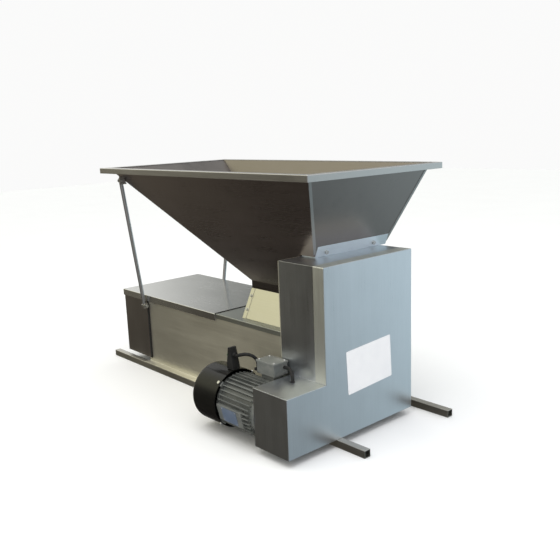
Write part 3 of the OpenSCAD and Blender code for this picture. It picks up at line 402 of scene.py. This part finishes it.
# Motor and its boxes
motorPieces = {
    "motor_housing": (motorEnamel, "motor_paint", 0.7),
    "front_shield": (motorEnamel, "motor_paint", 2.0),
    "rear_shield": (motorEnamel, "motor_paint", 1.5),
    "terminal_box": (terminalEnamel, "motor_paint", 1.8),
    "fan_cowl": (cowlEnamel, "cowl_black", 0.6),
    "cooling_fan": (blackPlastic, "black_plastic", 0.6),
    "switch_box": (blackPlastic, "black_plastic", 1.6),
    "cable_glands": (blackPlastic, "black_plastic", 0.8),
    "rating_plate": (plateBlue, "plate_blue", 0.3), "start_button": (greenKey, "key_green", 0.8),
    "stop_button": (redKey, "key_red", 0.8),
}
for node, (material, slotName, radius) in motorPieces.items():
    roundedCopy(node, node + "_finished", material, radius * mm)
print("motor rounded")

# Parts inside and small fasteners keep their shape and take a finish
insideFinish = {
    "destemming_grate": boxSteel, "beater_shaft": turnedSteel, "beater_paddles": foodRubber,
    "outlet_bearing": blackPlastic, "drive_bearing": castIron, "roller_a": foodRubber,
    "roller_b": foodRubber, "roller_bushes": blackPlastic, "box_screws": screwZinc,
    "roller_gear_a": castIron, "roller_gear_b": castIron, "roller_sprocket": castIron,
    "beater_sprocket": castIron, "drive_chain": chainSteel, "beater_pulley": castIron,
    "motor_pulley": castIron, "v_belt": beltRubber, "cover_screws": screwZinc,
    "saddle_bolts": screwZinc, "rod_bolts": screwZinc, "stator_core": turnedSteel,
    "motor_bearings": turnedSteel, "motor_rotor": turnedSteel, "cowl_screws": screwZinc,
    "flange_bolts": screwZinc,
}
for node, material in insideFinish.items():
    nodes[node].data.materials.clear()
    nodes[node].data.materials.append(material)
print("inside parts finished")

# Leads
leads = {"radius": 4.5, "shift": (500.0, -285.75, 0.0),  # from the drawing zero to the frame
         "switch": [(-255.9, 60, 206), (-251, 60, 206), (-243, 61, 209.5), (-234, 65, 212.5),
                    (-225, 71, 213.5), (-216, 78.5, 211), (-209.5, 85, 205),
                    (-206, 88.5, 197), (-205, 90, 188), (-205, 90, 182), (-205, 90, 178.05)],
         "interlock": [(-128.5, 112, 190), (-122, 112, 191), (-112, 110, 192), (-101, 106, 192),
                       (-91, 101, 189), (-83, 96, 183), (-79, 93, 177), (-78, 92, 170)]}


def leadPoints(route):
    return [(Vector(p) + Vector(leads["shift"])) * mm for p in route]


switchLead = tubeAlong("switch_lead", leadPoints(leads["switch"]), leads["radius"] * mm,
                       leadRubber)
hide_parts("flexible_leads")
tubeAlong("interlock_lead", leadPoints(leads["interlock"]), leads["radius"] * mm, leadRubber)
print("leads laid")

# Blank label on the cover
label = {"width": 165, "height": 112, "radius": 3, "thick": 0.3, "tilt": 3.0,
         "across": 284.5, "up": 184.0}
skin = 0.05 * mm  # how far a stuck or lapped piece stands off its sheet


def addLabel(spec):
    low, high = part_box("drive_cover")
    centre = Vector((high.x, low.y + spec["across"] * mm, spec["up"] * mm))
    tilt = math.radians(spec["tilt"])
    side = Vector((0, math.cos(tilt), math.sin(tilt)))
    up = Vector((0, -math.sin(tilt), math.cos(tilt)))
    out = Vector((1, 0, 0))
    outline = roundedRectangle(spec["width"] * mm, spec["height"] * mm, spec["radius"] * mm)
    slabPiece("blank_label", outline, (centre + out * skin, side, up, out),
              spec["thick"] * mm, labelWhite)


addLabel(label)
print("label stuck on")

# The front panel's edge is folded back over the top and both sides of the tall cover; the fold's
# lighter tint is painted light
flange = {"width": 35.0, "thick": 0.8, "footHeight": 150.0, "corner": 2.4, "setBack": 0.4,
          "edge": 0.3, "overlap": 0.5, "step": 1.5, "floorGap": 2.0}


def addFrontFlange(spec):
    low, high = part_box("drive_cover")
    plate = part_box("drive_end_plate")
    foot = plate[0].y - spec["overlap"] * mm
    w, t, c = spec["width"] * mm, spec["thick"] * mm, spec["corner"] * mm
    front = high.x - spec["setBack"] * mm
    stepZ = low.z + (spec["footHeight"] + spec["step"]) * mm
    path = [(foot, stepZ), (foot, high.z - c)]
    path += [(foot + c - c * math.cos(a), high.z - c + c * math.sin(a))
             for a in (math.radians(x) for x in (22.5, 45, 67.5, 90))]
    path += [(high.y - c + c * math.sin(a), high.z - c + c * math.cos(a))
             for a in (math.radians(x) for x in (0, 22.5, 45, 67.5))]
    path += [(high.y, high.z - c), (high.y, low.z + spec["floorGap"] * mm)]
    bm = bmesh.new()
    rings = []
    for i, (y, z) in enumerate(path):
        before = Vector(path[max(i - 1, 0)])
        after = Vector(path[min(i + 1, len(path) - 1)])
        run = (after - before).normalized()
        out = Vector((-run.y, run.x))
        ring = []
        for x, lift in ((high.x - w, skin), (high.x - w, t), (front, t), (front, skin)):
            ring.append(bm.verts.new((x, y + out.x * lift, z + out.y * lift)))
        rings.append(ring)
    for a, b in zip(rings, rings[1:]):
        joinRings(bm, a, b)
    bm.faces.new(rings[0][::-1])
    bm.faces.new(rings[-1])
    name = "cover_front_flange"
    piece = newPiece(name, meshFrom(bm, name, True), flangeLitSteel, "machine")
    edge = softEdge(piece, spec["edge"] * mm)
    edge.harden_normals = True
    edge.limit_method, edge.angle_limit = "ANGLE", math.radians(50)


addFrontFlange(flange)
print("front flange folded")

# Small fixings: pan heads with a cross recess, and rivets
fixings = {"screwRadius": 3.2, "screwHeight": 1.9, "screwInset": 7.0, "rivetRadius": 1.5,
           "rivetHeight": 0.7, "rivetSpread": (25.5, 16.5), "plateTurn": 13.0, "plateLift": 0.4,
           "sides": 20}
headProfile = [(1, 0), (1, 0.35), (0.92, 0.65), (0.72, 0.88), (0.42, 1)]
cross = {"arm": 0.34, "root": 0.12, "depth": 0.45}  # all shares of a head's radius and height


def ringPoints(at, reach, height):
    n = fixings["sides"]
    turns = [2 * math.pi * i / n for i in range(n)]
    return [at @ Vector((reach(i) * math.cos(a), reach(i) * math.sin(a), height))
            for i, a in enumerate(turns)]


# Domed heads facing one way; a screw's dome has a cross sunk in it
def addHeads(name, places, out, radius, height, crossed=True):
    bm = bmesh.new()
    turn = out.to_track_quat("Z", "Y").to_matrix().to_4x4()
    for place in places:
        at = Matrix.Translation(place) @ turn
        rings = [[bm.verts.new(p) for p in ringPoints(at, lambda i: radius * r, height * h)]
                 for r, h in headProfile]
        if crossed:
            arm = fixings["sides"] // 4
            sunk = ringPoints(at, lambda i: radius * cross["root" if i % arm else "arm"],
                              height * cross["depth"])
            rings.append([bm.verts.new(p) for p in sunk])
        for a, b in zip(rings, rings[1:]):
            joinRings(bm, a, b)
        bm.faces.new(rings[0][::-1])
        bm.faces.new(rings[-1])
    mesh = meshFrom(bm, name, True)
    mesh.set_sharp_from_angle(angle=math.radians(40))
    newPiece(name, mesh, screwZinc, "machine")


def addFixings(spec):
    low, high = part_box("terminal_box")
    inset = spec["screwInset"] * mm
    places = [Vector((x, y, high.z)) for x in (low.x + inset, high.x - inset)
              for y in (low.y + inset, high.y - inset)]
    addHeads("lid_screws", places, Vector((0, 0, 1)), spec["screwRadius"] * mm,
             spec["screwHeight"] * mm)
    low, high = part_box("rating_plate")
    turn = math.radians(spec["plateTurn"])
    out = Vector((0, -math.cos(turn), -math.sin(turn)))
    middle = (low + high) / 2 + out * spec["plateLift"] * mm
    side, up = Vector((1, 0, 0)), Vector((0, out.z, -out.y))
    wide, tall = (v * mm for v in spec["rivetSpread"])
    rivets = [middle + side * u + up * v for u in (-wide, wide) for v in (-tall, tall)]
    addHeads("plate_rivets", rivets, out, spec["rivetRadius"] * mm, spec["rivetHeight"] * mm,
             False)


addFixings(fixings)
print("fixings driven")

# Welded mitres on the rim
mitre = {"radius": 0.9, "sink": 0.55, "flange": 22.0, "end": 2.0, "steps": 5}
corners = {"near_drive": (True, True), "far_drive": (False, True),  # name: near side, drive side
           "near_outlet": (True, False), "far_outlet": (False, False)}


def addMitres(spec):
    low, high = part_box("hopper_rim")
    z = high.z - spec["sink"] * mm
    end, run = spec["end"] * mm, (spec["flange"] - 2 * spec["end"]) * mm
    for name, (nearSide, driveSide) in corners.items():
        x, inX = (high.x, -1) if driveSide else (low.x, 1)
        y, inY = (low.y, 1) if nearSide else (high.y, -1)
        reach = [end + run * i / spec["steps"] for i in range(spec["steps"] + 1)]
        tubeAlong("mitre_weld_" + name, [Vector((x + inX * d, y + inY * d, z)) for d in reach],
                  spec["radius"] * mm, weldSteel, 3)


addMitres(mitre)
print("mitres welded")

# Dark strips: a black strip on the hood's open edge is painted shadow for the gap between hood and
# trough, and a rubber trim runs along the lid's inner edge
trim = {"width": 8.0, "proud": 1.6, "corner": 0.8, "overlap": 3.0, "top": 3.0, "bottom": 1.0,
        "lidStrip": 3.2, "lidProud": 1.4, "lidCorner": 1.2, "lidEnds": 2.0}


def addTrimAndGapShadow(spec):
    low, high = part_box("stalk_hood")
    w, t = spec["width"] * mm, spec["proud"] * mm
    top, bottom = high.z - spec["top"] * mm, low.z + spec["bottom"] * mm
    outline = roundedRectangle(w, top - bottom, spec["corner"] * mm, 3)
    centre, middle = high.x + w / 2 - spec["overlap"] * mm, (top + bottom) / 2
    # Painted shadow: a black strip on each side of the hood's open edge
    for side, y, out in (("near", low.y, -1), ("far", high.y, 1)):
        axes = (Vector((centre, y, middle)), Vector((1, 0, 0)), Vector((0, 0, 1)),
                Vector((0, out, 0)))
        slabPiece("hood_gap_shadow_" + side, outline, axes, t, leadRubber)
    low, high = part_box("trough_lid")
    s = spec["lidStrip"] * mm
    strip = roundedRectangle(s, high.y - low.y - spec["lidEnds"] * mm, spec["lidCorner"] * mm, 4)
    axes = (Vector((high.x - s / 2, (low.y + high.y) / 2, high.z)), Vector((1, 0, 0)),
            Vector((0, 1, 0)), Vector((0, 0, 1)))
    slabPiece("lid_edge_trim", strip, axes, spec["lidProud"] * mm, leadRubber,
              "lid")


addTrimAndGapShadow(trim)
print("trims fitted")

# Lap seams up the hopper's corners
seam = {"width": 9.0, "thick": 0.9, "edge": 0.35, "slope": 0.385, "sheet": 1.5,
        "below": 3.2, "aboveNotch": 112.0}


# Corner points of the hopper's outer skin at a height, from the rim, the collar and the slopes
def hopperCorner(z, nearSide, driveSide):
    rimLow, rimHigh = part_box("hopper_rim")
    colLow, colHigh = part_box("hopper_collar")
    top = rimHigh.z - seam["sheet"] * mm
    part = (z - colHigh.z) / (top - colHigh.z)
    flange = mitre["flange"] * mm
    y = (colLow.y + part * (rimLow.y + flange - colLow.y) if nearSide
         else colHigh.y + part * (rimHigh.y - flange - colHigh.y))
    x = (rimHigh.x - flange - seam["slope"] * (top - z) if driveSide
         else colLow.x + part * (rimLow.x + flange - colLow.x))
    return Vector((x, y, z))


def addSeams(spec):
    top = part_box("hopper_rim")[1].z - spec["below"] * mm
    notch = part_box("hopper_wall_drive")[0].z + spec["aboveNotch"] * mm
    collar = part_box("hopper_collar")[1].z
    for name, (nearSide, driveSide) in corners.items():
        low = notch if driveSide else collar
        a, b = hopperCorner(low, nearSide, driveSide), hopperCorner(top, nearSide, driveSide)
        across = hopperCorner(top, not nearSide, driveSide) - b
        across.normalize()
        along = b - a
        out = along.cross(across).normalized()
        if (out.x > 0) != driveSide:
            out.negate()
        up = along.normalized()
        w = spec["width"] * mm
        shift = across * (w / up.cross(across).length)
        bm = bmesh.new()
        flat = [a, a + shift, b + shift, b]
        base = [bm.verts.new(p + out * skin) for p in flat]
        lift = [bm.verts.new(p + out * spec["thick"] * mm) for p in flat]
        bm.faces.new(base[::-1])
        bm.faces.new(lift)
        joinRings(bm, base, lift)
        piece = newPiece("seam_" + name, meshFrom(bm, "seam_" + name), seamSteel, "machine")
        softEdge(piece, spec["edge"] * mm)


addSeams(seam)
print("seams lapped")

# Floor and light
studio = {"floor": 9.0, "floorColour": (0.93, 0.93, 0.925), "backdrop": (0.96, 0.96, 0.957)}


def addFloor(spec):
    bm = bmesh.new()
    bmesh.ops.create_grid(bm, x_segments=24, y_segments=24, size=spec["floor"])
    mesh = bpy.data.meshes.new("studioFloor")
    bm.to_mesh(mesh)
    bm.free()
    floor = bpy.data.objects.new("studioFloor", mesh)
    s = Shader("studioFloorPaint", 0.9)
    grain = s.noise(3.0, (1, 1, 1), 4.0)
    pale = spec["floorColour"]
    s.link(s.mixColours(s.spread(grain, 0, 1), pale, tuple(c * 0.985 for c in pale)),
           s.bsdf.inputs["Base Color"])
    mesh.materials.append(s.mat)
    bpy.context.scene.collection.objects.link(floor)
    floor.visible_glossy = False  # the steel mirrors the studio and not the floor


overhead = {"place": (0.3, -0.6, 2.6), "target": (0, 0, 0.3), "size": 2.4, "power": 26.0}


def addOverhead(spec):
    data = bpy.data.lights.new("overheadSoft", "AREA")
    data.shape, data.size, data.energy = "DISK", spec["size"], spec["power"]
    lamp = bpy.data.objects.new("overheadSoft", data)
    aim = (Vector(spec["target"]) - Vector(spec["place"])).to_track_quat("-Z", "Y")
    lamp.matrix_world = Matrix.Translation(spec["place"]) @ aim.to_matrix().to_4x4()
    bpy.context.scene.collection.objects.link(lamp)


# Soft colours around the studio, blended by how near each direction lies:
# name: (direction, sharpness, share, colour)
surroundings = {
    "up": ((0, 0, 1), 4.0, 1.2, (1.35, 1.35, 1.35)),
    "down": ((0, 0, -1), 3.6, 1.5, (0.040, 0.034, 0.031)),
    "rightWindow": ((0.30, 0.94, -0.14), 18.0, 1.0, (1.12, 1.42, 1.54)),
    "rightNear": ((0.93, 0.34, -0.14), 18.0, 1.6, (0.27, 0.32, 0.335)),
    "front": ((0.7, -0.7, -0.05), 8.0, 1.0, (0.36, 0.36, 0.36)),
    "leftDark": ((-0.66, -0.72, -0.25), 20.0, 5.0, (0.048, 0.043, 0.035)),
    "leftKhaki": ((-0.95, -0.28, -0.06), 26.0, 1.0, (0.55, 0.51, 0.39)),
    "back": ((-0.55, 0.82, -0.2), 8.0, 1.0, (0.20, 0.20, 0.19)),
    "leftWarm": ((-0.73, -0.48, 0.50), 20.0, 1.0, (1.10, 1.07, 0.72)),
    "backBright": ((-0.93, 0.36, 0.22), 40.0, 1.6, (1.45, 1.45, 1.40)),
    "backDim": ((-0.62, 0.76, 0.20), 24.0, 2.6, (0.075, 0.088, 0.075)),
    "rightHigh": ((0.6, 0.6, 0.55), 7.0, 1.0, (0.85, 0.92, 1.0)),
    "frontHigh": ((0.6, -0.65, 0.55), 7.0, 1.0, (0.85, 0.85, 0.85)),
}


def addSurroundings(parts):
    world = bpy.data.worlds.new("studioWorld")
    bpy.context.scene.world = world
    world.use_nodes = True
    tree = world.node_tree
    where = tree.nodes.new("ShaderNodeTexCoord")
    total, weightSum = None, None

    def vectorMath(how, a, b):
        made = tree.nodes.new("ShaderNodeVectorMath")
        made.operation = how
        for i, x in enumerate((a, b)):
            if isinstance(x, (tuple, Vector)):
                made.inputs[i].default_value = x
            elif x is not None:
                tree.links.new(x, made.inputs[i])
        return made

    for direction, sharpness, share, colour in parts.values():
        near = vectorMath("DOT_PRODUCT", where.outputs["Generated"], Vector(direction).normalized())
        away = mathNode(tree, "SUBTRACT", near.outputs["Value"], 1.0)
        falling = mathNode(tree, "EXPONENT", mathNode(tree, "MULTIPLY", away, sharpness), 0.0)
        weight = mathNode(tree, "MULTIPLY", falling, share)
        scaled = vectorMath("SCALE", tuple(colour), None)
        tree.links.new(weight, scaled.inputs["Scale"])
        colourNow = scaled.outputs[0]
        if total is None:
            total, weightSum = colourNow, weight
        else:
            total = vectorMath("ADD", total, colourNow).outputs[0]
            weightSum = mathNode(tree, "ADD", weightSum, weight)
    inverse = mathNode(tree, "DIVIDE", 1.0, weightSum)
    mixed = vectorMath("SCALE", total, None)
    tree.links.new(inverse, mixed.inputs["Scale"])
    seen = tree.nodes.new("ShaderNodeLightPath")
    pick = tree.nodes.new("ShaderNodeMix")
    pick.data_type = "RGBA"
    tree.links.new(seen.outputs["Is Camera Ray"], pick.inputs[0])
    tree.links.new(mixed.outputs[0], pick.inputs[6])
    pick.inputs[7].default_value = (*studio["backdrop"], 1)  # what the camera sees past the floor
    tree.links.new(pick.outputs[2], tree.nodes["Background"].inputs["Color"])


addFloor(studio)
addSurroundings(surroundings)
addOverhead(overhead)
bpy.context.scene.view_settings.view_transform = "Standard"
print("studio lit")
